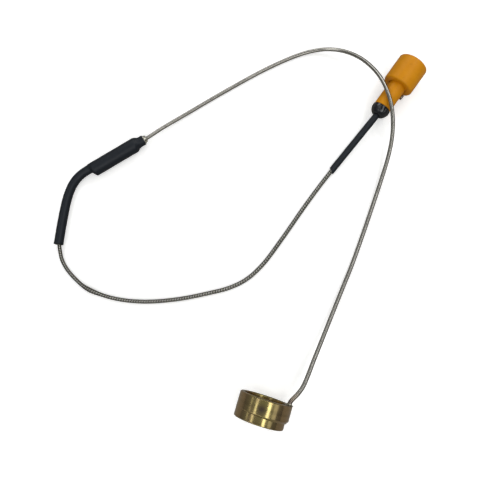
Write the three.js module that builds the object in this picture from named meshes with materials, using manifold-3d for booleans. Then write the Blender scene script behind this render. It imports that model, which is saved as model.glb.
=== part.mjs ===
// Sheathed thermocouple: a brass sensing collar, a metal-sheathed cable, a shrink-covered splice,
// a braided extension lead and a round plug with a turning coupling head.
// Millimetres, +Z up. The origin lies on the supporting surface under the collar's band.
// The collar's bore runs along Y, and the sheathed cable leaves its +Y face.
import * as THREE from 'three';
import { mergeVertices } from 'three/addons/utils/BufferGeometryUtils.js';
import Module from 'manifold-3d';

const wasm = await Module();
wasm.setup();

// ---- driving dimensions ----
const fitGap = 0.3;              // gap between pieces that touch on the real object
const floorGap = 0.05;           // gap kept to the supporting surface

// collar
const boreRadius = 14.3;
const collarLength = 16.7;
const bandLength = 11.0;         // thicker eccentric band on the cable side
const sleeveWall = 2.9;
const bandThinWall = 3.0;        // band wall opposite the cable
const bandEdgeSlope = 1.5;       // chamfer where the band drops to the sleeve
const rimChamfer = 0.5;
const tipHoleDepth = 12.5;
const tipHoleWeb = 0.6;          // brass left on each side of the tip hole

// sheathed cable and its measuring tip
const sheathRadius = 1.5;
const sheathWall = 0.5;
const tipWireRadius = 0.22;
const tipWireSpacing = 0.9;
const beadRadius = 0.62;
const brazeHeight = 0.8;

// splice
const spliceBodyLength = 40.0;
const spliceConeLength = 4.2;
const spliceNeckLength = 4.5;
const spliceSlack = 1.15;        // room between the crimp sleeves and the shrink
const shrinkWall = 0.9;
const ferruleLength = 8.0;
const ferruleShow = 2.4;         // ferrule left bare past the neck
const ferruleWall = 1.4;
const coldSealLength = 5.0;
const wireRadius = 0.25;
const wireLength = 9.0;
const crimpLength = 11.0;
const crimpRadius = 1.15;
const crimpSleeveWall = 0.45;
const crimpGap = 0.4;            // between the two crimp sleeves

// tail over the lead's start
const tailSlack = 0.9;           // room between the ferrule and the tail's shrink
const tailWall = 0.8;
const tailSleeveWall = 0.55;
const tailOffset = 2.25;         // sideways step of the tail from the splice axis
const coreRadius = 0.6;
const coreSpread = 0.85;
const armourFerruleLength = 5.0;
const armourFerruleWall = 0.4;

// extension lead and the shrink at the plug
const leadRadius = 1.65;
const plugShrinkSlack = 0.4;
const plugShrinkWall = 0.6;

// plug, measured along its own axis from the head's rear shoulder
const headRadius = 11.8;
const headLength = 21.5;
const headWall = 1.9;
const headRearWall = 2.2;
const headEdge = 1.4;            // rounded edges of the head
const neckWall = 1.8;
const neckLength = 20.0;
const barrelRadius = 8.0;
const barrelLength = 15.0;       // from the shoulder to the barrel's rim
const barrelWall = 1.4;
const flangeLength = 2.4;
const ringLength = 0.9;
const ringGrip = 0.5;            // how deep the retaining ring sits in the head
const sealCord = 0.7;            // radius of the rubber ring's section
const insertStart = 2.0;
const insertLength = 8.6;
const pinRadius = 0.9;
const pinSpread = 2.7;
const pinLength = 17.0;
const pinBack = 3.0;
const glandOverhang = 0.3;       // the nut's rim stands this far outside the neck
const glandLength = 7.2;
const glandTipRadius = 3.9;
const glandSpigot = 6.5;
const glandSealLength = 5.0;
const glandSealWall = 1.5;
const glandSpigotWall = 0.8;
const threadGap = 0.4;
const clampLength = 1.0;
const screwHeadRadius = 1.9;
const screwHeadHeight = 1.7;
const screwRadius = 1.0;
const screwBack = 4.6;           // screw centre behind the shoulder
const screwLength = 2.6;
const lugCount = 3;
const lugLength = 2.0;
const lugDepth = 1.1;
const lugWidth = 5.0;

// where the loose pieces lie
const splicePlace = [-188.0, 134.7];
const spliceBearing = THREE.MathUtils.degToRad(43.0);
const plugPlace = [29.8, 258.1];
const plugBearing = THREE.MathUtils.degToRad(20.0);
const plugPitch = THREE.MathUtils.degToRad(6.2);
const shrinkFarEnd = [-1.3, 182.3, 2.75];

// ---- worked out from the driving dimensions ----
const tipHoleRadius = sheathRadius + fitGap;
const bandThickWall = 2 * tipHoleRadius + 2 * tipHoleWeb;
const bandRadius = boreRadius + (bandThickWall + bandThinWall) / 2;
const boreX = -(bandThickWall - bandThinWall) / 2;
const collarZ = bandRadius;
const sleeveRadius = boreRadius + sleeveWall;
const tipX = bandRadius - tipHoleWeb - tipHoleRadius;
const collarFront = collarLength / 2;
const sheathBore = sheathRadius - sheathWall;
const ferruleInner = sheathRadius + fitGap;
const ferruleOuter = ferruleInner + ferruleWall;
const neckInner = ferruleOuter + 0.1;
const spliceNeckRadius = neckInner + shrinkWall;
const crimpSleeveInner = crimpRadius + fitGap;
const crimpSleeveOuter = crimpSleeveInner + crimpSleeveWall;
const crimpSpread = crimpSleeveOuter + crimpGap / 2;
const spliceInner = crimpSpread + crimpSleeveOuter + spliceSlack;
const spliceRadius = spliceInner + shrinkWall;
const spliceZ = spliceRadius + floorGap;
const leadBore = leadRadius + fitGap;
const tailInner = leadRadius + armourFerruleWall + tailSlack;
const tailRadius = tailInner + tailWall;
const plugShrinkInner = leadRadius + plugShrinkSlack;
const plugShrinkRadius = plugShrinkInner + plugShrinkWall;
const glandSealInner = leadBore + 0.05;
const glandSealOuter = glandSealInner + glandSealWall;
const glandCavity = glandSealOuter + fitGap;
const neckBore = glandCavity + glandSpigotWall + threadGap;
const neckRadius = neckBore + neckWall;
const glandRadius = neckRadius + glandOverhang;
const plugZ = headRadius * Math.cos(plugPitch) + floorGap;

const looks = {
  brass: { color: 0x8a6f3c, roughness: 0.32, metalness: 1.0 },
  steel: { color: 0xa8a79b, roughness: 0.35, metalness: 1.0 },
  braid: { color: 0x83837a, roughness: 0.45, metalness: 1.0 },
  silver: { color: 0xc9c7bd, roughness: 0.3, metalness: 1.0 },
  shrink: { color: 0x24282d, roughness: 0.5, metalness: 0.0 },
  orange: { color: 0xcf8a1c, roughness: 0.45, metalness: 0.0 },
  black: { color: 0x14161a, roughness: 0.2, metalness: 0.0 },
  rubber: { color: 0x202224, roughness: 0.8, metalness: 0.0 },
  ceramic: { color: 0xe8e4da, roughness: 0.8, metalness: 0.0 },
  glassSleeve: { color: 0xd8cfb8, roughness: 0.85, metalness: 0.0 },
  positive: { color: 0x2e8b4f, roughness: 0.5, metalness: 0.0 },
  negative: { color: 0xe9e9e4, roughness: 0.5, metalness: 0.0 },
  chromel: { color: 0xb0ada4, roughness: 0.35, metalness: 1.0 },
  alumel: { color: 0x97948c, roughness: 0.4, metalness: 1.0 },
  insert: { color: 0x2b2d30, roughness: 0.6, metalness: 0.0 },
};

// ---- making and joining closed shapes ----
function closed(geometry) {
  const bare = geometry.clone();
  bare.deleteAttribute('normal');
  bare.deleteAttribute('uv');
  const merged = mergeVertices(bare, 1e-4);
  const p = merged.attributes.position;
  const kept = [];
  let volume = 0;
  const a = new THREE.Vector3();
  const b = new THREE.Vector3();
  const c = new THREE.Vector3();
  for (let i = 0; i < merged.index.count; i += 3) {
    const [ia, ib, ic] = [0, 1, 2].map((k) => merged.index.getX(i + k));
    if (ia === ib || ib === ic || ic === ia) continue;
    kept.push(ia, ib, ic);
    a.fromBufferAttribute(p, ia);
    b.fromBufferAttribute(p, ib);
    c.fromBufferAttribute(p, ic);
    volume += a.dot(b.cross(c));
  }
  if (volume < 0) kept.reverse();
  merged.setIndex(kept);
  return merged;
}

function toSolid(geometry) {
  const shape = closed(geometry);
  return new wasm.Manifold(new wasm.Mesh({
    numProp: 3,
    vertProperties: new Float32Array(shape.attributes.position.array),
    triVerts: new Uint32Array(shape.index.array),
  }));
}

function fromSolid(solid) {
  const mesh = solid.getMesh();
  const geometry = new THREE.BufferGeometry();
  geometry.setAttribute('position', new THREE.BufferAttribute(new Float32Array(mesh.vertProperties), 3));
  geometry.setIndex(new THREE.BufferAttribute(new Uint32Array(mesh.triVerts), 1));
  return geometry;
}

function join(first, ...others) {
  return fromSolid(others.reduce((sum, g) => sum.add(toSolid(g)), toSolid(first)));
}

function cut(first, ...others) {
  return fromSolid(others.reduce((rest, g) => rest.subtract(toSolid(g)), toSolid(first)));
}

// A profile of [radius, height] points turned about the Y axis.
function turned(profile, sides = 32) {
  return closed(new THREE.LatheGeometry(profile.map(([r, h]) => new THREE.Vector2(r, h)), sides));
}

// The same about the Z axis, for pieces built in the splice's and the plug's own frames.
function turnedZ(profile, sides = 32) {
  return closed(turned(profile, sides).rotateX(Math.PI / 2));
}

// Solid bar or hollow tube between two heights.
function bar(radius, from, to) {
  return [[0, from], [radius, from], [radius, to], [0, to]];
}

function pipe(inner, outer, from, to) {
  return [[inner, from], [outer, from], [outer, to], [inner, to], [inner, from]];
}

// A section swept along a curve; an inner radius leaves it open from end to end.
function swept(curve, radius, steps, sides, inner = 0) {
  const ring = (r, count) => Array.from({ length: count }, (_, i) => {
    const turn = (i + 0.5) * 2 * Math.PI / count;
    return new THREE.Vector2(r * Math.cos(turn), r * Math.sin(turn));
  });
  const section = new THREE.Shape(ring(radius, sides));
  if (inner > 0) section.holes.push(new THREE.Path(ring(inner, sides).reverse()));
  return closed(new THREE.ExtrudeGeometry(section, { steps, bevelEnabled: false, extrudePath: curve }));
}

function smooth(points) {
  return new THREE.CatmullRomCurve3(points.map((p) => new THREE.Vector3(...p)), false, 'centripetal');
}

function piece(name, geometry, look) {
  const mesh = new THREE.Mesh(geometry, new THREE.MeshStandardMaterial(looks[look]));
  mesh.name = name;
  return mesh;
}

// ---- frames of the splice and the plug: local +Z runs along the piece ----
function lyingFrame(place, bearing, pitch) {
  const frame = new THREE.Group();
  frame.position.set(...place);
  frame.rotation.set(pitch - Math.PI / 2, 0, -bearing, 'ZXY');
  frame.updateMatrixWorld(true);
  return frame;
}

function placeIn(frame, x, y, z) {
  return frame.localToWorld(new THREE.Vector3(x, y, z)).toArray();
}

const part = new THREE.Group();
const spliceFrame = lyingFrame([...splicePlace, spliceZ], spliceBearing, 0);
const plugFrame = lyingFrame([...plugPlace, plugZ], plugBearing, plugPitch);
part.add(spliceFrame, plugFrame);

// ---- collar with the measuring tip ----
function collarBody() {
  const half = collarLength / 2;
  const bandStart = half - bandLength;
  const band = turned([
    [0, bandStart - bandEdgeSlope / 2],
    [bandRadius - bandEdgeSlope, bandStart - bandEdgeSlope / 2],
    [bandRadius, bandStart + bandEdgeSlope / 2],
    [bandRadius, half - rimChamfer],
    [bandRadius - rimChamfer, half],
    [0, half],
  ], 64);
  const sleeve = turned([
    [0, -half],
    [sleeveRadius - rimChamfer, -half],
    [sleeveRadius, -half + rimChamfer],
    [sleeveRadius, bandStart + 1],
    [0, bandStart + 1],
  ], 64).translate(boreX, 0, 0);
  const bore = turned([
    [0, -half - 1],
    [boreRadius + rimChamfer + 1, -half - 1],
    [boreRadius, -half + rimChamfer],
    [boreRadius, half - rimChamfer],
    [boreRadius + rimChamfer + 1, half + 1],
    [0, half + 1],
  ], 64).translate(boreX, 0, 0);
  const tipHole = turned(bar(tipHoleRadius, half - tipHoleDepth, half + 1), 16).translate(tipX, 0, 0);
  return cut(join(band, sleeve), bore, tipHole).translate(0, 0, collarZ);
}

function atTip(geometry) {
  return geometry.translate(tipX, collarFront, collarZ);
}

const tipEnd = -tipHoleDepth + fitGap;          // closed end of the sheath, from the collar's face
const tipMouth = -fitGap / 2;
const fillEnd = tipEnd + sheathWall + 2 * beadRadius + fitGap / 2;
const fillRadius = sheathBore - 0.08;
const wireHole = tipWireRadius + 0.06;
const beadY = tipEnd + sheathWall + beadRadius + 0.05;

part.add(piece('collar_body', collarBody(), 'brass'));
part.add(piece('tip_sheath', atTip(turned([
  [0, tipEnd],
  [sheathRadius - 0.3, tipEnd],
  [sheathRadius, tipEnd + 0.3],
  [sheathRadius, tipMouth],
  [sheathBore, tipMouth],
  [sheathBore, tipEnd + sheathWall],
  [0, tipEnd + sheathWall],
], 16)), 'steel'));
part.add(piece('tip_insulation', atTip(cut(
  turned(bar(fillRadius, fillEnd, tipMouth), 16),
  turned(bar(wireHole, fillEnd - 1, 1), 8).translate(0, 0, tipWireSpacing / 2),
  turned(bar(wireHole, fillEnd - 1, 1), 8).translate(0, 0, -tipWireSpacing / 2),
)), 'ceramic'));
part.add(piece('hot_junction', atTip(closed(
  new THREE.SphereGeometry(beadRadius, 12, 8).translate(0, beadY, 0),
)), 'silver'));
for (const [name, side, look] of [['positive', 1, 'chromel'], ['negative', -1, 'alumel']]) {
  const wire = turned(bar(tipWireRadius, beadY + beadRadius + 0.04, tipMouth), 8);
  part.add(piece(`tip_wire_${name}`, atTip(wire.translate(0, 0, side * tipWireSpacing / 2)), look));
}
part.add(piece('sheath_braze', atTip(turned([
  [sheathRadius + 0.2, 0.04],
  [sheathRadius + 1.1, 0.04],
  [sheathRadius + 0.5, brazeHeight],
  [sheathRadius + 0.2, brazeHeight],
  [sheathRadius + 0.2, 0.04],
], 16)), 'silver'));

// ---- splice between the sheathed cable and the lead, local +Z towards the sheathed cable ----
const spliceEnd = spliceBodyLength + spliceConeLength + spliceNeckLength;
const tailHole = coreSpread + coreRadius + fitGap;
const ferruleEnd = spliceEnd + ferruleShow;
const ferruleStart = ferruleEnd - ferruleLength;
const sealEnd = ferruleStart - fitGap;
const sealStart = sealEnd - coldSealLength;
const wireStart = sealStart - wireLength;
const crimpEnd = wireStart - fitGap;
const crimpStart = crimpEnd - crimpLength;

spliceFrame.add(piece('splice_shrink', cut(
  turnedZ([
    [0, 0],
    [spliceRadius - 0.6, 0],
    [spliceRadius, 0.6],
    [spliceRadius, spliceBodyLength],
    [spliceNeckRadius, spliceBodyLength + spliceConeLength],
    [spliceNeckRadius, spliceEnd],
    [0, spliceEnd],
  ], 32),
  turnedZ([
    [0, shrinkWall],
    [spliceInner, shrinkWall],
    [spliceInner, spliceBodyLength - shrinkWall / 2],
    [neckInner, spliceBodyLength + spliceConeLength],
    [neckInner, spliceEnd + 1],
    [0, spliceEnd + 1],
  ], 32),
  turnedZ(bar(tailHole, -1, shrinkWall + 1), 16).translate(-tailOffset, 0, 0),
), 'shrink'));
spliceFrame.add(piece('transition_ferrule',
  turnedZ(pipe(ferruleInner, ferruleOuter, ferruleStart, ferruleEnd), 16), 'silver'));
spliceFrame.add(piece('cold_seal', cut(
  turnedZ(bar(neckInner - fitGap, sealStart, sealEnd), 16),
  turnedZ(bar(wireRadius + 0.1, sealStart - 1, sealEnd + 1), 8).translate(0, crimpSpread / 2, 0),
  turnedZ(bar(wireRadius + 0.1, sealStart - 1, sealEnd + 1), 8).translate(0, -crimpSpread / 2, 0),
), 'ceramic'));

function spliceSide(name, side, wireLook, coreLook) {
  const wire = smooth([
    [0, side * crimpSpread / 2, sealEnd],
    [0, side * crimpSpread / 2, sealStart - 0.5],
    [0, side * crimpSpread * 0.8, sealStart - wireLength / 2],
    [0, side * crimpSpread, wireStart + 0.5],
    [0, side * crimpSpread, wireStart],
  ]);
  spliceFrame.add(
    piece(`cold_wire_${name}`, swept(wire, wireRadius, 10, 6), wireLook),
    piece(`crimp_${name}`, turnedZ(bar(crimpRadius, crimpStart, crimpEnd), 12)
      .translate(0, side * crimpSpread, 0), 'silver'),
    piece(`crimp_sleeve_${name}`,
      turnedZ(pipe(crimpSleeveInner, crimpSleeveOuter, crimpStart - 1.5, crimpEnd + 1.5), 12)
        .translate(0, side * crimpSpread, 0), 'glassSleeve'),
  );
  // core from the crimp, through the tail, to the braid's end
  const core = smooth([
    placeIn(spliceFrame, 0, side * crimpSpread, crimpStart - fitGap),
    placeIn(spliceFrame, -0.2, side * crimpSpread, crimpStart - 2.5),
    placeIn(spliceFrame, -tailOffset * 0.6, side * (crimpSpread + coreSpread) / 2, (crimpStart + 2) / 2),
    placeIn(spliceFrame, -tailOffset, side * coreSpread, 2.5),
    ...tailPoints.map(([x, y, z]) => [x, y, z - side * coreSpread]),
  ]);
  part.add(piece(`core_${name}`, swept(core, coreRadius, 34, 6), coreLook));
}

// ---- tail: shrink and glass sleeve that bend over the two cores ----
const tailPoints = [
  placeIn(spliceFrame, -tailOffset, 0, -fitGap),
  placeIn(spliceFrame, -tailOffset, 0, -fitGap - 2),
  [-194.0, 131.7, 5.7],
  [-197.6, 127.6, 4.9],
  [-200.3, 122.6, 4.1],
  [-201.6, 117.0, 3.85],
  [-201.8, 111.0, 3.8],
  [-201.2, 104.0, 3.8],
  [-200.0, 97.0, 3.8],
  [-198.2, 87.5, 3.8],
  [-196.0, 77.5, 3.8],
];
const tailMouth = [-193.9, 68.6, 3.8];
const tailCurve = smooth([...tailPoints, tailMouth]);
const sleeveCurve = smooth(tailPoints.slice(0, -1));

for (const [name, side, wireLook] of [['positive', 1, 'chromel'], ['negative', -1, 'alumel']]) {
  spliceSide(name, side, wireLook, name);
}
part.add(piece('tail_shrink', swept(tailCurve, tailRadius, 26, 16, tailInner), 'shrink'));
part.add(piece('tail_sleeve',
  swept(sleeveCurve, tailInner - 0.12, 20, 12, tailInner - 0.12 - tailSleeveWall), 'glassSleeve'));

// ---- the free cables ----
const sheathPoints = [
  [tipX, collarFront + fitGap, collarZ],
  [tipX, collarFront + 2.0, collarZ - 0.1],
  [17.2, 13.4, 17.4],
  [19.2, 17.0, 16.6],
  [21.2, 22.4, 15.4],
  [22.4, 30.0, 13.6],
  [23.6, 42.0, 11.1],
  [25.2, 56.0, 8.5],
  [27.2, 74.0, 5.4],
  [29.6, 95.0, 3.0],
  [31.9, 115.0, 1.8],
  [33.9, 140.0, 1.6],
  [35.3, 162.0, 2.0],
  [36.5, 184.0, 3.9],
  [37.0, 200.0, 7.4],
  [36.3, 213.0, 11.2],
  [34.2, 224.0, 14.8],
  [30.6, 234.5, 18.2],
  [25.2, 245.4, 19.6],
  [18.2, 256.3, 18.6],
  [9.0, 267.0, 15.4],
  [-3.6, 277.0, 11.0],
  [-17.5, 282.9, 6.8],
  [-31.0, 283.8, 4.1],
  [-43.5, 280.7, 2.2],
  [-55.0, 274.3, 1.6],
  [-75.5, 257.7, 1.55],
  [-103.5, 230.0, 1.55],
  [-131.0, 200.2, 2.2],
  [-144.5, 184.0, 4.2],
  placeIn(spliceFrame, 0, 0, ferruleEnd + 2),
  placeIn(spliceFrame, 0, 0, ferruleStart + 1),
];
const glandBack = -neckLength - fitGap - glandLength;
const clampFront = -neckLength + glandSpigot;
const leadEnd = clampFront - fitGap;
const leadPoints = [
  [-195.3, 74.9, 3.75],
  [-193.4, 68.6, 3.5],
  [-191.0, 63.6, 2.7],
  [-187.5, 58.0, 1.9],
  [-181.0, 52.2, 1.7],
  [-171.5, 46.8, 1.7],
  [-160.0, 42.4, 1.7],
  [-146.0, 40.8, 1.7],
  [-130.0, 41.5, 1.7],
  [-110.0, 45.6, 1.7],
  [-86.0, 54.6, 1.7],
  [-64.0, 65.9, 1.7],
  [-50.0, 74.3, 1.7],
  [-39.8, 83.8, 1.7],
  [-31.5, 97.5, 1.7],
  [-22.5, 122.0, 1.7],
  [-14.4, 147.0, 1.7],
  [-7.2, 167.4, 1.9],
  shrinkFarEnd,
  placeIn(plugFrame, 0, 0, glandBack - 1),
  placeIn(plugFrame, 0, 0, leadEnd),
];
const sheathSteps = 48;
const leadSteps = 32;
const leadCurve = smooth(leadPoints);
part.add(piece('sheath_cable', swept(smooth(sheathPoints), sheathRadius, sheathSteps, 8), 'steel'));
part.add(piece('extension_lead', swept(leadCurve, leadRadius, leadSteps, 8), 'braid'));

// ferrule crimped on the braid's end, inside the tail
const ferruleFrom = leadCurve.getPointAt(0);
const ferruleDirection = leadCurve.getPointAt(1 / leadSteps).sub(ferruleFrom).normalize();
const armourFerrule = turned(pipe(leadBore - 0.05, leadBore - 0.05 + armourFerruleWall, 0, armourFerruleLength), 16);
armourFerrule.applyQuaternion(
  new THREE.Quaternion().setFromUnitVectors(new THREE.Vector3(0, 1, 0), ferruleDirection),
);
armourFerrule.translate(...ferruleFrom.addScaledVector(ferruleDirection, -armourFerruleLength * 0.35).toArray());
part.add(piece('armour_ferrule', armourFerrule, 'silver'));

// ---- shrink over the lead at the plug ----
const shrinkTop = new THREE.Vector3(...placeIn(plugFrame, 0, 0, glandBack - 1));
const shrinkBottom = new THREE.Vector3(...shrinkFarEnd);
const shrinkDirection = shrinkTop.clone().sub(shrinkBottom).normalize();
const shrinkLength = shrinkTop.distanceTo(shrinkBottom) + 0.5;
const plugShrink = turned(pipe(plugShrinkInner, plugShrinkRadius, 0, shrinkLength), 16);
plugShrink.applyQuaternion(
  new THREE.Quaternion().setFromUnitVectors(new THREE.Vector3(0, 1, 0), shrinkDirection),
);
plugShrink.translate(...shrinkBottom.toArray());
part.add(piece('plug_shrink', plugShrink, 'shrink'));

// ---- plug, local +Z towards the mating side ----
const flangeStart = headRearWall + fitGap + 0.1;
const flangeEnd = flangeStart + flangeLength;
const headInner = headRadius - headWall;
const flangeRadius = headInner - 0.4;
const barrelInner = barrelRadius - barrelWall;
const ringStart = flangeEnd + fitGap;
const sealPlace = ringStart + ringLength + 3.2;
const screwTurn = THREE.MathUtils.degToRad(20.0);   // below the level of the plug's axis

function plugBody() {
  const outer = turnedZ([
    [0, -neckLength],
    [neckRadius - 0.4, -neckLength],
    [neckRadius, -neckLength + 0.4],
    [neckRadius, flangeStart],
    [flangeRadius, flangeStart],
    [flangeRadius, flangeEnd],
    [barrelRadius, flangeEnd],
    [barrelRadius, sealPlace - sealCord],
    [barrelRadius - sealCord, sealPlace - sealCord],
    [barrelRadius - sealCord, sealPlace + sealCord],
    [barrelRadius, sealPlace + sealCord],
    [barrelRadius, barrelLength - 0.4],
    [barrelRadius - 0.4, barrelLength],
    [0, barrelLength],
  ], 40);
  const inner = turnedZ([
    [0, -neckLength - 1],
    [neckBore, -neckLength - 1],
    [neckBore, insertStart - fitGap],
    [barrelInner, insertStart - fitGap],
    [barrelInner, barrelLength + 1],
    [0, barrelLength + 1],
  ], 32);
  return cut(outer, inner, screwShape(bar(screwRadius + fitGap, neckBore - 1, neckRadius + 1), 12));
}

// A shape turned about the screw's own axis, which points out of the neck's side.
function screwShape(profile, sides) {
  return turned(profile, sides).rotateZ(-Math.PI / 2).rotateZ(screwTurn).translate(0, 0, -screwBack);
}

function couplingHead() {
  const outer = turnedZ([
    [0, 0],
    [headRadius - headEdge, 0],
    [headRadius - headEdge * 0.3, headEdge * 0.3],
    [headRadius, headEdge],
    [headRadius, headLength - headEdge],
    [headRadius - headEdge * 0.3, headLength - headEdge * 0.3],
    [headRadius - headEdge, headLength],
    [0, headLength],
  ], 48);
  const inner = turnedZ([
    [0, -1],
    [neckRadius + 0.4, -1],
    [neckRadius + 0.4, headRearWall],
    [headInner, headRearWall],
    [headInner, ringStart - 0.1],
    [headInner + ringGrip + 0.2, ringStart - 0.1],
    [headInner + ringGrip + 0.2, ringStart + ringLength + 0.1],
    [headInner, ringStart + ringLength + 0.1],
    [headInner, headLength + 1],
    [0, headLength + 1],
  ], 48);
  const lugs = Array.from({ length: lugCount }, (_, i) => {
    const lug = new THREE.BoxGeometry(lugDepth + 0.8, lugWidth, lugLength);
    return lug.translate(headInner - lugDepth / 2 + 0.2, 0, headLength - 2.5)
      .rotateZ((i + 0.25) * 2 * Math.PI / lugCount);
  });
  return join(cut(outer, inner), ...lugs);
}

plugFrame.add(piece('plug_body', plugBody(), 'orange'));
plugFrame.add(piece('coupling_head', couplingHead(), 'orange'));
plugFrame.add(piece('retaining_ring',
  turnedZ(pipe(barrelRadius + 0.4, headInner + ringGrip, ringStart, ringStart + ringLength), 40), 'steel'));
plugFrame.add(piece('rim_seal', closed(new THREE.TorusGeometry(
  barrelRadius + 0.12, sealCord - 0.06, 8, 32,
).translate(0, 0, sealPlace)), 'rubber'));
plugFrame.add(piece('contact_insert', cut(
  turnedZ(bar(barrelInner - 0.35, insertStart, insertStart + insertLength), 32),
  ...[1, -1].map((side) => turnedZ(bar(pinRadius + fitGap, 0, 20), 12).translate(side * pinSpread, 0, 0)),
  new THREE.BoxGeometry(2.0, 2.0, 30).translate(0, barrelInner - 0.35, 0),
), 'insert'));
for (const [name, side, look] of [['positive', 1, 'chromel'], ['negative', -1, 'alumel']]) {
  const x = side * pinSpread;
  plugFrame.add(piece(`pin_${name}`, turnedZ([
    [0, -pinBack],
    [pinRadius, -pinBack],
    [pinRadius, pinLength - pinBack - 0.6],
    [pinRadius - 0.4, pinLength - pinBack],
    [0, pinLength - pinBack],
  ], 12).translate(x, 0, 0), look));
  const core = smooth([
    [side * coreSpread, 0, leadEnd + fitGap],
    [side * coreSpread, 0, leadEnd + 1.2],
    [side * (coreSpread + pinSpread) / 2, 0, (leadEnd - pinBack) / 2],
    [x, 0, -pinBack - 1.2],
    [x, 0, -pinBack - fitGap],
  ]);
  plugFrame.add(piece(`plug_core_${name}`, swept(core, coreRadius, 8, 6), name));
}
const sealBack = -neckLength - 2.4;
plugFrame.add(piece('gland_nut', cut(
  turnedZ([
    [0, glandBack],
    [glandTipRadius - 0.6, glandBack],
    [glandTipRadius + 0.5, glandBack + 0.5],
    [glandRadius * 0.82, glandBack + glandLength * 0.35],
    [glandRadius, glandBack + glandLength * 0.75],
    [glandRadius, -neckLength - fitGap],
    [neckBore - threadGap, -neckLength - fitGap],
    [neckBore - threadGap, clampFront],
    [0, clampFront],
  ], 32),
  turnedZ([
    [0, glandBack - 1],
    [leadBore + 0.15, glandBack - 1],
    [leadBore + 0.15, sealBack - fitGap],
    [glandCavity, sealBack - fitGap],
    [glandCavity, clampFront + 1],
    [0, clampFront + 1],
  ], 24),
), 'black'));
plugFrame.add(piece('gland_seal',
  turnedZ(pipe(glandSealInner, glandSealOuter, sealBack, sealBack + glandSealLength), 20), 'rubber'));
plugFrame.add(piece('clamp_ring',
  turnedZ(pipe(glandSealInner, glandSealOuter, sealBack + glandSealLength + fitGap,
    sealBack + glandSealLength + fitGap + clampLength), 20), 'steel'));
plugFrame.add(piece('locking_screw', cut(
  screwShape([
    [0, neckRadius + 0.15 - screwLength],
    [screwRadius, neckRadius + 0.15 - screwLength],
    [screwRadius, neckRadius + 0.15],
    [screwHeadRadius, neckRadius + 0.15],
    [screwHeadRadius, neckRadius + screwHeadHeight - 0.4],
    [screwHeadRadius - 0.5, neckRadius + screwHeadHeight],
    [0, neckRadius + screwHeadHeight],
  ], 16),
  closed(new THREE.BoxGeometry(1.2, 0.5, 6)
    .translate(neckRadius + screwHeadHeight, 0, 0)
    .rotateZ(screwTurn)
    .translate(0, 0, -screwBack)),
), 'steel'));

export default part;
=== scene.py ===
# Sheathed thermocouple: brass collar, metal-sheathed cable, shrink-covered splice, braided lead
# and a round orange plug with a turning head. Sizes in millimetres, Blender in metres, +Z up.
import math
import random

import bmesh
import bpy
from mathutils import Matrix, Vector, noise


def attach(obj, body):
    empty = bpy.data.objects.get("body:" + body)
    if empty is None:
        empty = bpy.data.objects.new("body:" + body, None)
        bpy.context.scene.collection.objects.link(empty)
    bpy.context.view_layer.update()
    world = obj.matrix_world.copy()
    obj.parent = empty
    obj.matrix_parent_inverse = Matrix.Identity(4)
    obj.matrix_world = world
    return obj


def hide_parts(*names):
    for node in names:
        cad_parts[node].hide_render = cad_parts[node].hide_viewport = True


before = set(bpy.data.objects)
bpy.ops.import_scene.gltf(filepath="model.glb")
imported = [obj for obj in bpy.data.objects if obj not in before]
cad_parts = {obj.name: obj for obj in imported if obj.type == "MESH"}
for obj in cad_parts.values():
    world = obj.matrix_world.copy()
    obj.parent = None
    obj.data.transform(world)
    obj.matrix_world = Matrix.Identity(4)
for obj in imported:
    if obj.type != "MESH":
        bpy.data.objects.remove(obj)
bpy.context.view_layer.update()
scene = bpy.context.scene
mm = 0.001
fullTurn = 2 * math.pi

# where the pieces lie, as in the CAD
places = {
    "collarHeight": 18.2,
    "collarFace": 8.35,
    "boreShift": -0.9,
    "tipAcross": 15.8,
    "splice": (-188.0, 134.7, 6.10),
    "spliceBearing": 43.0,
    "plug": (29.8, 258.1, 11.781),
    "plugBearing": 20.0,
    "plugPitch": 6.2,
    "shrinkFarEnd": (-1.3, 182.3, 2.75),
}


def lyingMatrix(place, bearing, pitch):
    turned = Matrix.Rotation(-math.radians(bearing), 4, "Z")
    tipped = Matrix.Rotation(math.radians(pitch - 90), 4, "X")
    return Matrix.Translation(Vector(place) * mm) @ turned @ tipped


collarMatrix = lyingMatrix((0, 0, places["collarHeight"]), 0, 0)
spliceMatrix = lyingMatrix(places["splice"], places["spliceBearing"], 0)
plugMatrix = lyingMatrix(places["plug"], places["plugBearing"], places["plugPitch"])


def placeIn(matrix, x, y, z):
    return matrix @ (Vector((x, y, z)) * mm)


def metres(points):
    return [point if isinstance(point, Vector) else Vector(point) * mm for point in points]


# modelling helpers
def takeUp(piece):
    bpy.ops.object.select_all(action="DESELECT")
    piece.select_set(True)
    bpy.context.view_layer.objects.active = piece


def openMesh(piece, kind="FACE"):
    takeUp(piece)
    bpy.ops.object.mode_set(mode="EDIT")
    bpy.ops.mesh.select_mode(type=kind)


def closeMesh():
    bpy.ops.object.mode_set(mode="OBJECT")


def mend(piece):
    openMesh(piece, "VERT")
    bpy.ops.mesh.select_all(action="SELECT")
    bpy.ops.mesh.remove_doubles(threshold=0.0005 * mm)
    bpy.ops.mesh.normals_make_consistent(inside=False)
    closeMesh()


def rounded(profile, steps=4):
    # a corner with a third number is rounded to that radius
    points = []
    for i, corner in enumerate(profile):
        here = Vector(corner[:2])
        if len(corner) < 3:
            points.append(here)
            continue
        back = (Vector(profile[i - 1][:2]) - here).normalized()
        on = (Vector(profile[i + 1][:2]) - here).normalized()
        half = back.angle(on) / 2
        reach = corner[2] / math.tan(half)
        middle = here + (back + on).normalized() * corner[2] / math.sin(half)
        start = here + back * reach - middle
        sweep = (here + on * reach - middle).angle_signed(start)
        for k in range(steps + 1):
            arm = start.copy()
            arm.rotate(Matrix.Rotation(sweep * k / steps, 2))
            points.append(middle + arm)
    return points


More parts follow.
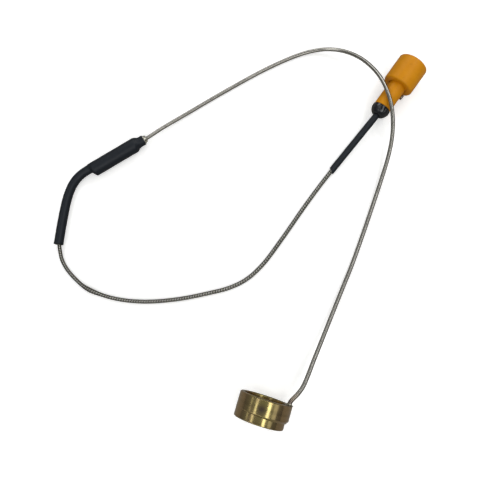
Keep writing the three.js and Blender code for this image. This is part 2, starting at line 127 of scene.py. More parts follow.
def spun(name, profile, steps=96, cornerSteps=4):
    # a line of (radius, height) corners is extruded from one point, then spun about local Z
    line = rounded(profile, cornerSteps)
    bpy.ops.object.select_all(action="DESELECT")
    bpy.ops.mesh.primitive_plane_add(size=mm)
    piece = bpy.context.object
    piece.name = name
    piece.data.name = name
    openMesh(piece, "VERT")
    bpy.ops.mesh.select_all(action="SELECT")
    bpy.ops.mesh.merge(type="CENTER")
    bpy.ops.transform.translate(value=(line[0].x * mm, 0, line[0].y * mm))
    for here, there in zip(line, line[1:]):
        step = ((there.x - here.x) * mm, 0, (there.y - here.y) * mm)
        bpy.ops.mesh.extrude_region_move(TRANSFORM_OT_translate={"value": step})
    bpy.ops.mesh.select_all(action="SELECT")
    bpy.ops.mesh.spin(steps=steps, angle=fullTurn, center=(0, 0, 0), axis=(0, 0, 1))
    closeMesh()
    mend(piece)
    return piece


def settle(piece, matrix):
    takeUp(piece)
    piece.matrix_world = matrix
    bpy.ops.object.transform_apply(location=True, rotation=True, scale=True)
    return piece


def modify(piece, kind, **settings):
    takeUp(piece)
    bpy.ops.object.modifier_add(type=kind)
    modifier = piece.modifiers[-1]
    for name, value in settings.items():
        setattr(modifier, name, value)
    bpy.ops.object.modifier_apply(modifier=modifier.name)
    return piece


def carve(piece, cutter, way="DIFFERENCE"):
    modify(piece, "BOOLEAN", operation=way, object=cutter, solver="EXACT")
    bpy.data.objects.remove(cutter)
    return piece


def block(name, size, centre, matrix=None):
    bpy.ops.object.select_all(action="DESELECT")
    bpy.ops.mesh.primitive_cube_add(size=1)
    cube = bpy.context.object
    cube.name = name
    cube.scale = Vector(size) * mm
    cube.location = Vector(centre) * mm
    bpy.ops.object.transform_apply(location=True, rotation=True, scale=True)
    if matrix is not None:
        settle(cube, matrix)
    return cube


def copied(piece, name, matrix):
    twin = piece.copy()
    twin.data = piece.data.copy()
    twin.name = name
    twin.data.name = name
    bpy.context.collection.objects.link(twin)
    return settle(twin, matrix)


def joined(first, others):
    takeUp(first)
    for other in others:
        other.select_set(True)
    bpy.ops.object.join()
    return first


# cords and shrunk tubes
def smoothLine(points, spacing):
    # the CAD's own centripetal curve through the points, in even steps
    corners = metres(points)
    padded = [corners[0] * 2 - corners[1]] + corners + [corners[-1] * 2 - corners[-2]]
    fine = []
    for i in range(1, len(padded) - 2):
        p0, p1, p2, p3 = (padded[i + k] / mm for k in (-1, 0, 1, 2))
        d0, d1, d2 = (math.sqrt((b - a).length) for a, b in ((p0, p1), (p1, p2), (p2, p3)))
        t1 = ((p1 - p0) / d0 - (p2 - p0) / (d0 + d1) + (p2 - p1) / d1) * d1
        t2 = ((p2 - p1) / d1 - (p3 - p1) / (d1 + d2) + (p3 - p2) / d2) * d1
        for k in range(24):
            t = k / 24
            fine.append(p1 + t1 * t + (p2 * 3 - p1 * 3 - t1 * 2 - t2) * t * t
                        + (p1 * 2 - p2 * 2 + t1 + t2) * t ** 3)
    fine.append(corners[-1] / mm)
    along = [0.0]
    for a, b in zip(fine, fine[1:]):
        along.append(along[-1] + (b - a).length)
    count = max(2, round(along[-1] / spacing))
    line = []
    k = 0
    for i in range(count + 1):
        reach = along[-1] * i / count
        while k < len(fine) - 2 and along[k + 1] < reach:
            k += 1
        part = (reach - along[k]) / (along[k + 1] - along[k])
        line.append(fine[k].lerp(fine[k + 1], min(part, 1.0)) * mm)
    return line


def lineLength(line):
    return sum((b - a).length for a, b in zip(line, line[1:]))


def stations(line):
    # place, side, up, ahead and distance in mm at each point; up stays upright, so nothing twists
    found = []
    gone = 0.0
    for i, here in enumerate(line):
        ahead = (line[min(i + 1, len(line) - 1)] - line[max(i - 1, 0)]).normalized()
        side = ahead.cross(Vector((0, 0, 1))).normalized()
        if i:
            gone += (here - line[i - 1]).length / mm
        found.append((here, side, side.cross(ahead), ahead, gone))
    return found


def skin(name, runs):
    # each run is (rings, loop, finish, marks): rings joined in turn, capped unless the last meets
    # the first; finish numbers its material and marks, if any, replace the distances along it
    points, faces, spots, finishes = [], [], [], []
    for rings, loop, finish, *marks in runs:
        first = len(points)
        count = len(rings[0])
        centres = [sum(ring, Vector()) / count for ring in rings]
        gone = [0.0]
        for a, b in zip(centres, centres[1:] + centres[:1]):
            gone.append(gone[-1] + (b - a).length / mm)
        if marks:
            gone = marks[0]
        points += [point for ring in rings for point in ring]
        for i in range(len(rings) if loop else len(rings) - 1):
            a = first + i * count
            b = first + (i + 1) % len(rings) * count
            for k in range(count):
                m = (k + 1) % count
                faces.append((a + k, a + m, b + m, b + k))
                spots += [(k / count, gone[i]), ((k + 1) / count, gone[i]),
                          ((k + 1) / count, gone[i + 1]), (k / count, gone[i + 1])]
        if not loop:
            last = first + (len(rings) - 1) * count
            faces.append(tuple(first + k for k in reversed(range(count))))
            faces.append(tuple(last + k for k in range(count)))
            spots += [(0.5, 0.0)] * (2 * count)
        finishes += [finish] * (len(faces) - len(finishes))
    mesh = bpy.data.meshes.new(name)
    mesh.from_pydata(points, [], faces)
    layer = mesh.uv_layers.new(name="along")
    layer.data.foreach_set("uv", [value for spot in spots for value in spot])
    mesh.polygons.foreach_set("material_index", finishes)
    piece = bpy.data.objects.new(name, mesh)
    bpy.context.collection.objects.link(piece)
    mend(piece)
    return piece


def ringAt(station, radius, sides):
    # starts at the underside, so the seam lies on the floor
    here, side, up, ahead, gone = station
    ring = []
    for k in range(sides):
        turn = fullTurn * k / sides
        reach = radius(gone, turn) * mm
        ring.append(here + (side * math.sin(turn) - up * math.cos(turn)) * reach)
    return ring


def bell(x, middle, width):
    return math.exp(-((x - middle) / width) ** 2)


def eased(x, low, high):
    t = min(max((x - low) / (high - low), 0.0), 1.0)
    return t * t * (3 - 2 * t)


# materials
def colour(code):
    parts = [int(code[i:i + 2], 16) / 255 for i in (1, 3, 5)]
    line = [c / 12.92 if c <= 0.04045 else ((c + 0.055) / 1.055) ** 2.4 for c in parts]
    return (*line, 1.0)


def perMetre(size):
    # noise and wave scale for features of this size in mm
    return 1 / (size * mm)


def feed(tree, node, inputs):
    # a node given as a value stands for its first live output
    for socket, value in inputs.items():
        if isinstance(value, bpy.types.Node):
            value = next(output for output in value.outputs if output.enabled)
        if isinstance(value, bpy.types.NodeSocket):
            tree.links.new(value, node.inputs[socket])
        else:
            node.inputs[socket].default_value = value


def addNode(tree, kind, inputs=None, **settings):
    node = tree.nodes.new("ShaderNode" + kind)
    for name, value in settings.items():
        setattr(node, name, value)
    feed(tree, node, inputs or {})
    return node


def startMaterial(name, metallic, roughness, **sockets):
    material = bpy.data.materials.new(name)
    material.use_nodes = True
    tree = material.node_tree
    shader = tree.nodes["Principled BSDF"]
    feed(tree, shader, {"Metallic": metallic, "Roughness": roughness})
    feed(tree, shader, {socket.replace("_", " "): value for socket, value in sockets.items()})
    return material, tree, shader


def mixed(name, shades, patch, gloss, grain, relief, metallic=0.0, **sockets):
    # two shades mixed by soft patches, gloss that varies with them, and a fine relief, sizes in mm
    material, tree, shader = startMaterial(name, metallic, gloss[0], **sockets)
    place = addNode(tree, "TexCoord").outputs["Object"]
    cloud = addNode(tree, "TexNoise", {"Vector": place, "Scale": perMetre(patch), "Detail": 4.0})
    shade = addNode(tree, "Mix", {0: cloud, 6: colour(shades[0]), 7: colour(shades[1])}, data_type="RGBA")
    fine = addNode(tree, "TexNoise", {"Vector": place, "Scale": perMetre(grain), "Detail": 3.0})
    shine = addNode(tree, "MapRange", {
        "Value": cloud, "From Min": 0.3, "From Max": 0.7, "To Min": gloss[0], "To Max": gloss[1]})
    bump = addNode(tree, "Bump", {"Height": fine, "Strength": 0.6, "Distance": relief * mm})
    feed(tree, shader, {"Base Color": shade, "Roughness": shine, "Normal": bump})
    return material


def turnedBrass():
    # turned CZ121 brass gone dull: yellow along the top and brown down the sides, painted light and
    # shade, brown also in tarnish patches, a violet heat stain, and rings left by the tool; 0.25 mm
    # rings are drawn at 0.5 mm so that they show
    material, tree, shader = startMaterial("turnedBrass", 1.0, 0.3)
    place = addNode(tree, "TexCoord").outputs["Object"]
    axis = addNode(tree, "Mapping", {"Vector": place, "Location": (0, 0, -0.0182)})
    drawn = addNode(tree, "Mapping", {"Vector": axis, "Scale": (0.06, 1.0, 0.06)})
    cloud = addNode(tree, "TexNoise", {"Vector": axis, "Scale": perMetre(9), "Detail": 3.0})
    rings = addNode(tree, "TexNoise", {"Vector": drawn, "Scale": perMetre(0.5), "Detail": 2.0})
    lines = addNode(tree, "TexNoise", {"Vector": drawn, "Scale": perMetre(2.2), "Detail": 2.0})
    specks = addNode(tree, "TexNoise", {"Vector": axis, "Scale": perMetre(1.1), "Detail": 5.0})
    patchy = addNode(tree, "MapRange", {"Value": cloud, "From Min": 0.42, "From Max": 0.66, "To Max": 0.6})
    offAxis = addNode(tree, "SeparateXYZ", {"Vector": axis}).outputs["X"]
    aside = addNode(tree, "Math", {0: offAxis}, operation="ABSOLUTE")
    # painted shade: the brass turns browner away from the top, down the sides of the collar as it lies
    sides = addNode(tree, "MapRange", {"Value": aside, "From Min": 0.004, "From Max": 0.013, "To Max": 0.8})
    # real tarnish patches and the painted side shade together
    tarnishAndShade = addNode(tree, "Math", {0: patchy, 1: sides}, operation="MAXIMUM")
    bare = addNode(tree, "Mix", {0: tarnishAndShade, 6: colour("#BDAF70"), 7: colour("#A4876B")}, data_type="RGBA")
    stain = addNode(tree, "MapRange", {"Value": lines, "From Min": 0.5, "From Max": 0.75, "To Max": 0.4})
    dull = addNode(tree, "Mix", {0: stain, 6: bare, 7: colour("#75664A")}, data_type="RGBA")
    spot = addNode(tree, "MapRange", {"Value": specks, "From Min": 0.6, "From Max": 0.72, "To Max": 0.35})
    aged = addNode(tree, "Mix", {0: spot, 6: dull, 7: colour("#56474C")}, data_type="RGBA")
    crown = addNode(tree, "VectorMath", {0: axis, 1: (0.0002, 0.002, 0.0182)}, operation="DISTANCE")
    stained = addNode(tree, "MapRange", {
        "Value": crown, "From Min": 0.0008, "From Max": 0.0042, "To Min": 0.65, "To Max": 0.0})
    violet = addNode(tree, "Mix", {0: stained, 6: aged, 7: colour("#65505E")}, data_type="RGBA")
    shine = addNode(tree, "MapRange", {
        "Value": cloud, "From Min": 0.35, "From Max": 0.7, "To Min": 0.15, "To Max": 0.24})
    bump = addNode(tree, "Bump", {"Height": rings, "Strength": 0.5, "Distance": 0.003 * mm})
    feed(tree, shader, {"Base Color": violet, "Roughness": shine, "Normal": bump})
    return material


def drawnStainless():
    # drawn 321 stainless tube: warm grey, long faint die lines, straw and blue near the braze
    material, tree, shader = startMaterial("drawnStainless", 1.0, 0.3)
    coord = addNode(tree, "TexCoord")
    along = addNode(tree, "Mapping", {"Vector": coord.outputs["UV"], "Scale": (40, 0.05, 1)})
    lines = addNode(tree, "TexNoise", {"Vector": along, "Scale": 1.0, "Detail": 4.0})
    cloud = addNode(tree, "TexNoise", {
        "Vector": coord.outputs["Object"], "Scale": perMetre(6), "Detail": 4.0})
    grey = addNode(tree, "Mix", {0: cloud, 6: colour("#B2B0A9"), 7: colour("#8C8A83")}, data_type="RGBA")
    distance = addNode(tree, "SeparateXYZ", {"Vector": coord.outputs["UV"]}).outputs["Y"]
    straw = addNode(tree, "MapRange", {
        "Value": distance, "From Min": 1.5, "From Max": 13.0, "To Min": 0.6, "To Max": 0.0})
    tinted = addNode(tree, "Mix", {0: straw, 6: grey, 7: colour("#8E7350")}, data_type="RGBA")
    blue = addNode(tree, "MapRange", {
        "Value": distance, "From Min": 0.5, "From Max": 4.5, "To Min": 0.7, "To Max": 0.0})
    heated = addNode(tree, "Mix", {0: blue, 6: tinted, 7: colour("#5B5560")}, data_type="RGBA")
    shine = addNode(tree, "MapRange", {
        "Value": lines, "From Min": 0.3, "From Max": 0.7, "To Min": 0.14, "To Max": 0.26})
    bump = addNode(tree, "Bump", {"Height": lines, "Strength": 0.4, "Distance": 0.01 * mm})
    feed(tree, shader, {"Base Color": heated, "Roughness": shine, "Normal": bump})
    return material


def braidedStainless(name, clean, handled, soiling):
    # bright stainless wire laid side by side in flat plaits: five 0.17 mm wires to a plait, with
    # painted shade between the wires and where a plait goes under the next, dulled in patches by
    # handling and soiled over the first 50 to 80 mm; the plait's own map runs 1 for each mm, and a
    # plait goes over and under every 4
    material, tree, shader = startMaterial(name, 1.0, 0.3, Anisotropic=0.8)
    coord = addNode(tree, "TexCoord")
    across = addNode(tree, "Tangent", direction_type="UV_MAP", uv_map="along")
    spot = addNode(tree, "SeparateXYZ", {"Vector": coord.outputs["UV"]})
    count = addNode(tree, "Math", {0: spot.outputs["X"], 1: 20 * math.pi}, operation="MULTIPLY")
    wires = addNode(tree, "Math", {0: count}, operation="COSINE")
    cloud = addNode(tree, "TexNoise", {
        "Vector": coord.outputs["Object"], "Scale": perMetre(5), "Detail": 4.0})
    grey = addNode(tree, "Mix", {0: cloud, 6: colour(clean), 7: colour(handled)}, data_type="RGBA")
    # painted shade in the grooves between the wires
    gap = addNode(tree, "MapRange", {
        "Value": wires, "From Min": -1.0, "From Max": -0.4, "To Min": 0.6, "To Max": 0.0})
    wireGapShaded = addNode(tree, "Mix", {0: gap, 6: grey, 7: colour("#3A3932")}, data_type="RGBA")
    # painted shade where a plait dips under the next
    phase = addNode(tree, "Math", {0: spot.outputs["Y"], 1: math.pi / 2}, operation="MULTIPLY")
    over = addNode(tree, "Math", {0: phase}, operation="SINE")
    under = addNode(tree, "MapRange", {
        "Value": over, "From Min": 0.2, "From Max": 0.95, "To Min": 0.92, "To Max": 0.0})
    shaded = addNode(tree, "Mix", {0: under, 6: wireGapShaded, 7: colour("#2B2A25")}, data_type="RGBA")
    distance = addNode(tree, "Math", {0: spot.outputs["Y"]}, operation="ABSOLUTE")
    soil = addNode(tree, "MapRange", {
        "Value": distance, "From Min": 50.0, "From Max": 80.0, "To Min": soiling, "To Max": 0.0})
    soiled = addNode(tree, "Mix", {0: soil, 6: shaded, 7: colour("#45423A")}, data_type="RGBA")
    bump = addNode(tree, "Bump", {"Height": wires, "Strength": 0.5, "Distance": 0.03 * mm})
    feed(tree, shader, {"Base Color": soiled, "Tangent": across, "Normal": bump})
    return material


def mouldedNylon():
    # moulded orange nylon: satin skin with a faint cloudy colour and a 0.3 mm orange-peel texture,
    # browner grime in soft patches
    material, tree, shader = startMaterial("mouldedNylon", 0.0, 0.42, IOR=1.53, Specular_IOR_Level=0.2)
    place = addNode(tree, "TexCoord").outputs["Object"]
    cloud = addNode(tree, "TexNoise", {"Vector": place, "Scale": perMetre(7), "Detail": 3.0})
    peel = addNode(tree, "TexNoise", {"Vector": place, "Scale": perMetre(0.3), "Detail": 2.0})
    dirt = addNode(tree, "TexNoise", {
        "Vector": place, "Scale": perMetre(4), "Detail": 6.0, "Roughness": 0.7})
    body = addNode(tree, "Mix", {0: cloud, 6: colour("#D08502"), 7: colour("#DE940A")}, data_type="RGBA")
    soil = addNode(tree, "MapRange", {"Value": dirt, "From Min": 0.55, "From Max": 0.8, "To Max": 0.4})
    handled = addNode(tree, "Mix", {0: soil, 6: body, 7: colour("#9C6406")}, data_type="RGBA")
    shine = addNode(tree, "MapRange", {
        "Value": dirt, "From Min": 0.3, "From Max": 0.7, "To Min": 0.36, "To Max": 0.52})
    bump = addNode(tree, "Bump", {"Height": peel, "Strength": 0.35, "Distance": 0.02 * mm})
    feed(tree, shader, {"Base Color": handled, "Roughness": shine, "Normal": bump})
    return material


def heatShrink():
    # polyolefin heat shrink: blue-black satin skin, faint drag marks, pale scuffs
    material, tree, shader = startMaterial("heatShrink", 0.0, 0.45, IOR=1.5, Specular_IOR_Level=0.3)
    place = addNode(tree, "TexCoord").outputs["Object"]
    cloud = addNode(tree, "TexNoise", {"Vector": place, "Scale": perMetre(5), "Detail": 4.0})
    scuff = addNode(tree, "TexNoise", {
        "Vector": place, "Scale": perMetre(1.3), "Detail": 6.0, "Roughness": 0.65})
    grain = addNode(tree, "TexNoise", {"Vector": place, "Scale": perMetre(0.35), "Detail": 2.0})
    body = addNode(tree, "Mix", {0: cloud, 6: colour("#10151D"), 7: colour("#1A2128")}, data_type="RGBA")
    worn = addNode(tree, "MapRange", {"Value": scuff, "From Min": 0.6, "From Max": 0.75, "To Max": 0.35})
    skinned = addNode(tree, "Mix", {0: worn, 6: body, 7: colour("#32383E")}, data_type="RGBA")
    shine = addNode(tree, "MapRange", {
        "Value": scuff, "From Min": 0.3, "From Max": 0.7, "To Min": 0.38, "To Max": 0.55})
    bump = addNode(tree, "Bump", {"Height": grain, "Strength": 0.4, "Distance": 0.03 * mm})
    feed(tree, shader, {"Base Color": skinned, "Roughness": shine, "Normal": bump})
    return material


brass = turnedBrass()
stainless = drawnStainless()
# the braid's two ways catch the light differently, so the second way is the same wire painted darker and
# more soiled: painted shade
braidWire = braidedStainless("brightBraidWire", "#D2D0C8", "#B9B7AE", 0.1)
shadedBraidWire = braidedStainless("braidWirePaintedShade", "#B8B6AD", "#959389", 0.6)
orangeNylon = mouldedNylon()
shrink = heatShrink()
# glossy moulded polyamide of the gland nut, almost black with a hard shine
glandNylon = mixed("glossPolyamide", ("#101216", "#191C21"), 4, (0.12, 0.2), 0.5, 0.008, IOR=1.53)
# varnished glass braid under the metal braid, coloured near black as painted shade for the gaps between the
# plaits
innerSleeveShade = mixed("innerSleevePaintedShade", ("#2A2822", "#3C382E"), 1.5, (0.6, 0.8), 0.3, 0.05)
# silver solder that has run and set, slightly lumpy
silverSolder = mixed("silverSolder", ("#B9B4A4", "#8C8674"), 1.2, (0.25, 0.4), 0.5, 0.05, 1.0)
# nickel-plated brass ferrules, bright with fine handling marks
nickelPlate = mixed("nickelPlate", ("#DAD8CC", "#B4B1A2"), 1.5, (0.16, 0.32), 0.3, 0.02, 1.0)
# zinc-plated steel, cool and slightly clouded
zincSteel = mixed("zincSteel", ("#A9ADB0", "#83888C"), 1.2, (0.3, 0.42), 0.25, 0.015, 1.0)
# the small outside screw, its zinc worn brown
wornZinc = mixed("wornZinc", ("#9B8F80", "#6E6256"), 0.8, (0.4, 0.55), 0.25, 0.02, 1.0)
# nitrile rubber, matt with a dusty bloom
nitrile = mixed("nitrileRubber", ("#1B1C1D", "#2A2B2B"), 2, (0.7, 0.85), 0.2, 0.03)
# crushed magnesia packing, chalky and grainy
magnesia = mixed("magnesiaPacking", ("#EDE9DF", "#D6D0C2"), 0.5, (0.85, 0.95), 0.12, 0.06)
# woven glass sleeving, cream with a 0.5 mm weave
glassSleeving = mixed("glassSleeving", ("#DDD4BC", "#BDB293"), 0.8, (0.8, 0.9), 0.5, 0.12)
# extruded fluoropolymer on the two cores, waxy green and white
greenInsulation = mixed("greenFluoropolymer", ("#2E8B4F", "#25763F"), 2, (0.32, 0.42), 0.4, 0.01)
whiteInsulation = mixed("whiteFluoropolymer", ("#ECEBE4", "#DCDACF"), 2, (0.32, 0.42), 0.4, 0.01)
# bare thermocouple alloys: warm nickel-chromium and greyer nickel-aluminium
chromel = mixed("nickelChromium", ("#B7B3A8", "#9C978A"), 0.8, (0.28, 0.4), 0.2, 0.01, 1.0)
alumel = mixed("nickelAluminium", ("#A3A19A", "#87857E"), 0.8, (0.32, 0.45), 0.2, 0.01, 1.0)
# glass-filled contact insert, charcoal with visible fibre flecks
filledInsert = mixed("glassFilledNylon", ("#2A2C2F", "#3A3D40"), 0.6, (0.5, 0.65), 0.3, 0.02)
print("materials made")


# handing a piece over to its body
def deliver(piece, material, nodes, body="cable_assembly", angle=32):
    given = material if isinstance(material, list) else [material]
    for slotNumber, finish in enumerate(given):
        if slotNumber < len(piece.data.materials):
            piece.data.materials[slotNumber] = finish
        else:
            piece.data.materials.append(finish)
    takeUp(piece)
    bpy.ops.object.shade_smooth_by_angle(angle=math.radians(angle))
    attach(piece, body)
    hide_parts(*nodes)
    return piece


# camera
cameraFacts = {"place": (22.9, 38.6, 370.1), "aim": (-54.0, 111.8, 0.0), "roll": -30.0,
               "lens": 37.5, "sensor": 36.0}
cameraData = bpy.data.cameras.new("camera")
camera = bpy.data.objects.new("camera", cameraData)
scene.collection.objects.link(camera)
cameraData.lens = cameraFacts["lens"]
cameraData.sensor_width = cameraFacts["sensor"]
cameraData.clip_start = 0.01
lookWay = (Vector(cameraFacts["aim"]) - Vector(cameraFacts["place"])).to_track_quat("-Z", "Y")
camera.matrix_world = (Matrix.Translation(Vector(cameraFacts["place"]) * mm)
                       @ lookWay.to_matrix().to_4x4()
                       @ Matrix.Rotation(math.radians(cameraFacts["roll"]), 4, "Z"))
scene.camera = camera
print("camera placed")

# routes of the free cords
tailRoute = metres([
    placeIn(spliceMatrix, -2.25, 0, -0.3), placeIn(spliceMatrix, -2.25, 0, -2.3),
    (-194.0, 131.7, 5.7), (-197.6, 127.6, 4.9), (-200.3, 122.6, 4.1), (-201.6, 117.0, 3.85),
    (-201.8, 111.0, 3.8), (-201.2, 104.0, 3.8), (-200.0, 97.0, 3.8), (-198.2, 87.5, 3.8),
    (-196.0, 77.5, 3.8), (-193.9, 68.6, 3.8)])
sheathRoute = metres([
    (15.8, 8.65, 18.2), (15.8, 10.35, 18.1), (17.2, 13.4, 17.4), (19.2, 17.0, 16.6),
    (21.2, 22.4, 15.4), (22.4, 30.0, 13.6), (23.6, 42.0, 11.1), (25.2, 56.0, 8.5),
    (27.2, 74.0, 5.4), (29.6, 95.0, 3.0), (31.9, 115.0, 1.8), (33.9, 140.0, 1.6),
    (35.3, 162.0, 2.0), (36.5, 184.0, 3.9), (37.0, 200.0, 7.4), (36.3, 213.0, 11.2),
    (34.2, 224.0, 14.8), (30.6, 234.5, 18.2), (25.2, 245.4, 19.6), (18.2, 256.3, 18.6),
    (9.0, 267.0, 15.4), (-3.6, 277.0, 11.0), (-17.5, 282.9, 6.8), (-31.0, 283.8, 4.1),
    (-43.5, 280.7, 2.2), (-55.0, 274.3, 1.6), (-75.5, 257.7, 1.55), (-103.5, 230.0, 1.55),
    (-131.0, 200.2, 2.2), (-144.5, 184.0, 4.2),
    placeIn(spliceMatrix, 0, 0, 53.1), placeIn(spliceMatrix, 0, 0, 44.1)])
leadRoute = metres([
    (-195.3, 74.9, 3.75), (-193.4, 68.6, 3.5), (-191.0, 63.6, 2.7), (-187.5, 58.0, 1.9),
    (-181.0, 52.2, 1.7), (-171.5, 46.8, 1.7), (-160.0, 42.4, 1.7), (-146.0, 40.8, 1.7),
    (-130.0, 41.5, 1.7), (-110.0, 45.6, 1.7), (-86.0, 54.6, 1.7), (-64.0, 65.9, 1.7),
    (-50.0, 74.3, 1.7), (-39.8, 83.8, 1.7), (-31.5, 97.5, 1.7), (-22.5, 122.0, 1.7),
    (-14.4, 147.0, 1.7), (-7.2, 167.4, 1.9), places["shrinkFarEnd"],
    placeIn(plugMatrix, 0, 0, -28.5), placeIn(plugMatrix, 0, 0, -13.8)])

# metal-sheathed cable
sheathFacts = {"radius": 1.5, "sides": 24, "step": 1.0, "dents": 0.02}


def sheathRadius(gone, turn):
    wobble = noise.noise(Vector((gone * 0.35, math.sin(turn), math.cos(turn))))
    return sheathFacts["radius"] + sheathFacts["dents"] * (wobble - 0.5)


sheathLine = smoothLine(sheathRoute, sheathFacts["step"])
sheathCable = skin("sheathCable", [
    ([ringAt(s, sheathRadius, sheathFacts["sides"]) for s in stations(sheathLine)], False, 0)])
deliver(sheathCable, stainless, ["sheath_cable"], angle=60)
print("sheathed cable made")

# braided lead
braidFacts = {
    "radius": 1.65,
    "slimmer": 0.12,  # the braid sits tighter before the bulge
    "bulge": 0.46,  # where the braid has been pushed together
    "bulgeAt": 56.0,
    "bulgeWidth": 6.5,
    "carriers": 8,  # plaits each way
    "lay": 16.0,  # one turn of a plait
    "width": 0.84,  # across one plait
    "thick": 0.22,
    "weave": 0.17,  # how far a plait rises and dips
    "squareness": 2.2,  # how long it stays up before it dips
    "crown": 1.0,  # brings a row of bright crossings to the top, bright where the plaits ride over and the painted under-plait shade leaves off
    "twist": 1.3,  # the rows turn some 30 degrees round the lead beside the tail
    "twistEnd": 60.0,
    "step": 0.5,
    "core": 0.52,  # depth of the sleeve under the plaits, painted near black as shade
}


def braidBulge(gone):
    return braidFacts["bulge"] * bell(gone, braidFacts["bulgeAt"], braidFacts["bulgeWidth"])


def braidRadius(gone):
    facts = braidFacts
    tight = facts["slimmer"] * (1 - eased(gone, facts["bulgeAt"] - 6, facts["bulgeAt"] + 60))
    return facts["radius"] - tight + braidBulge(gone)


def plait(posts, number, way):
    facts = braidFacts
    slope = math.atan(fullTurn * facts["radius"] / facts["lay"])
    square = facts["squareness"]
    rings = []
    marks = []
    for here, side, up, ahead, gone in posts:
        turn = fullTurn * (number / facts["carriers"] + way * gone / facts["lay"])
        out = side * math.sin(turn) - up * math.cos(turn)
        across = side * math.cos(turn) + up * math.sin(turn)
        meet = 2 * facts["carriers"] * gone / facts["lay"]
        untwisted = eased(gone, 0, facts["twistEnd"]) - 1
        phase = math.pi / 2 * (meet * way + 2 * number + facts["crown"] + facts["twist"] * untwisted)
        swing = math.sin(phase)
        # the marks carry the weave's phase to the material, which paints shade where the plait dips under
        marks.append(phase * 2 / math.pi + 1 - way)
        lift = way * facts["weave"] * math.tanh(square * swing) / math.tanh(square)
        outer = braidRadius(gone) - facts["weave"] - facts["thick"] / 2
        middle = here + out * (outer + lift) * mm
        wide = (across * math.cos(slope) - ahead * way * math.sin(slope)) * facts["width"] / 2 * mm
        high = out * facts["thick"] / 2 * mm
        rings.append([middle - wide, middle + high, middle + wide, middle - high])
    return rings, False, 1 - way, marks


leadLine = smoothLine(leadRoute, braidFacts["step"])
# the bulge rests on the floor, so the braid's middle rises there
leadPosts = [(here + up * braidBulge(gone) * mm, side, up, ahead, gone)
             for here, side, up, ahead, gone in stations(leadLine)]
runs = [([ringAt(s, lambda gone, turn: braidRadius(gone) - braidFacts["core"], 12)
          for s in leadPosts[::3]], False, 1)]
for number in range(braidFacts["carriers"]):
    for way in (1, -1):
        runs.append(plait(leadPosts, number, way))
lead = skin("braidedLead", runs)
deliver(lead, [braidWire, innerSleeveShade, shadedBraidWire], ["extension_lead"], angle=70)
print("braided lead made")

# splice
spliceFacts = {
    "lump": 0.1,  # soft unevenness of the shrunk wall
    "wrinkle": 0.09,  # rings where the neck has drawn in
    "tailShift": -2.25,  # the tail leaves to one side of the middle
    "slant": 1.1,  # the body runs further along on one side of the neck
}
spliceProfile = [(3.82, -1.6), (4.0, -1.62), (4.16, -1.45), (4.45, -1.0), (5.0, -0.35), (5.6, 0.35),
                 (5.92, 0.95), (6.03, 1.6)]
spliceProfile += [(6.05, 2.4 + 0.8 * k) for k in range(47)]
spliceProfile += [(6.04, 39.9), (5.98, 40.4), (5.84, 40.9), (5.62, 41.4), (5.34, 41.9), (5.04, 42.4),
                  (4.76, 42.9), (4.52, 43.4), (4.35, 43.9), (4.25, 44.4)]
spliceProfile += [(4.2, 45.0 + 0.55 * k) for k in range(6)]
spliceProfile += [(4.2, 48.5), (4.08, 48.7), (3.55, 48.72), (3.4, 48.55), (3.34, 48.0), (3.34, 44.6),
                  (5.15, 39.8), (5.15, 20.0), (5.15, 1.6), (3.9, -0.6), (3.82, -1.6)]
spliceShrink = spun("spliceShrink", spliceProfile, 64)
for vertex in spliceShrink.data.vertices:
    z = vertex.co.z / mm
    turn = math.atan2(vertex.co.y, vertex.co.x)
    soft = noise.noise(Vector((z * 0.16, 1.3 * math.cos(turn), 1.3 * math.sin(turn))))
    neck = eased(z, 41.0, 43.5) * (1 - eased(z, 47.0, 48.2))
    ripple = math.sin(z * 4.1 + 1.5 * math.sin(2 * turn)) * (0.6 + 0.4 * math.sin(3 * turn))
    loss = spliceFacts["lump"] * (0.5 - soft) * eased(z, 1, 6)
    loss += spliceFacts["wrinkle"] * neck * (ripple + 1)
    vertex.co.xy *= 1 - loss / 6
    vertex.co.x += spliceFacts["tailShift"] * (1 - eased(z, -1.9, 1.3)) * mm
    vertex.co.z -= spliceFacts["slant"] * math.cos(turn) * bell(z, 42.2, 2.6) * mm
deliver(settle(spliceShrink, spliceMatrix), shrink, ["splice_shrink"], angle=50)

# crimped end of the metal sheath: a split nickel ferrule whose leaves are nipped on the cable
ferruleFacts = {"leaves": 7, "steps": 56, "gap": 0.34, "leafFrom": 48.6, "wall": 0.5, "uneven": 0.36}
ferrule = spun("splitFerrule", [(3.2, 43.1), (3.2, 46.0), (3.2, 48.3), (3.24, 48.9), (3.18, 49.5),
                                (2.9, 50.2), (2.5, 50.8), (2.15, 51.2)], ferruleFacts["steps"])
openMesh(ferrule)
bpy.ops.mesh.select_all(action="DESELECT")
shape = bmesh.from_edit_mesh(ferrule.data)
for face in shape.faces:
    middle = face.calc_center_median()
    turn = math.atan2(middle.y, middle.x) / fullTurn * ferruleFacts["leaves"]
    face.select_set(middle.z > ferruleFacts["leafFrom"] * mm and turn % 1.0 < ferruleFacts["gap"])
bmesh.update_edit_mesh(ferrule.data)
bpy.ops.mesh.delete(type="FACE")
closeMesh()
random.seed(7)
leafSplay = [random.uniform(-0.4, 1.0) for k in range(ferruleFacts["leaves"])]
for vertex in ferrule.data.vertices:
    z = vertex.co.z / mm
    turn = math.atan2(vertex.co.y, vertex.co.x) / fullTurn * ferruleFacts["leaves"]
    splay = leafSplay[int(turn % ferruleFacts["leaves"])] * ferruleFacts["uneven"]
    vertex.co.xy *= 1 + splay * eased(z, 48.7, 51.2)
    vertex.co.z += 0.5 * splay * eased(z, 49.5, 51.2) * mm
modify(ferrule, "SOLIDIFY", thickness=ferruleFacts["wall"] * mm, offset=-1)
modify(ferrule, "BEVEL", width=0.07 * mm, segments=2, limit_method="ANGLE", angle_limit=0.7)
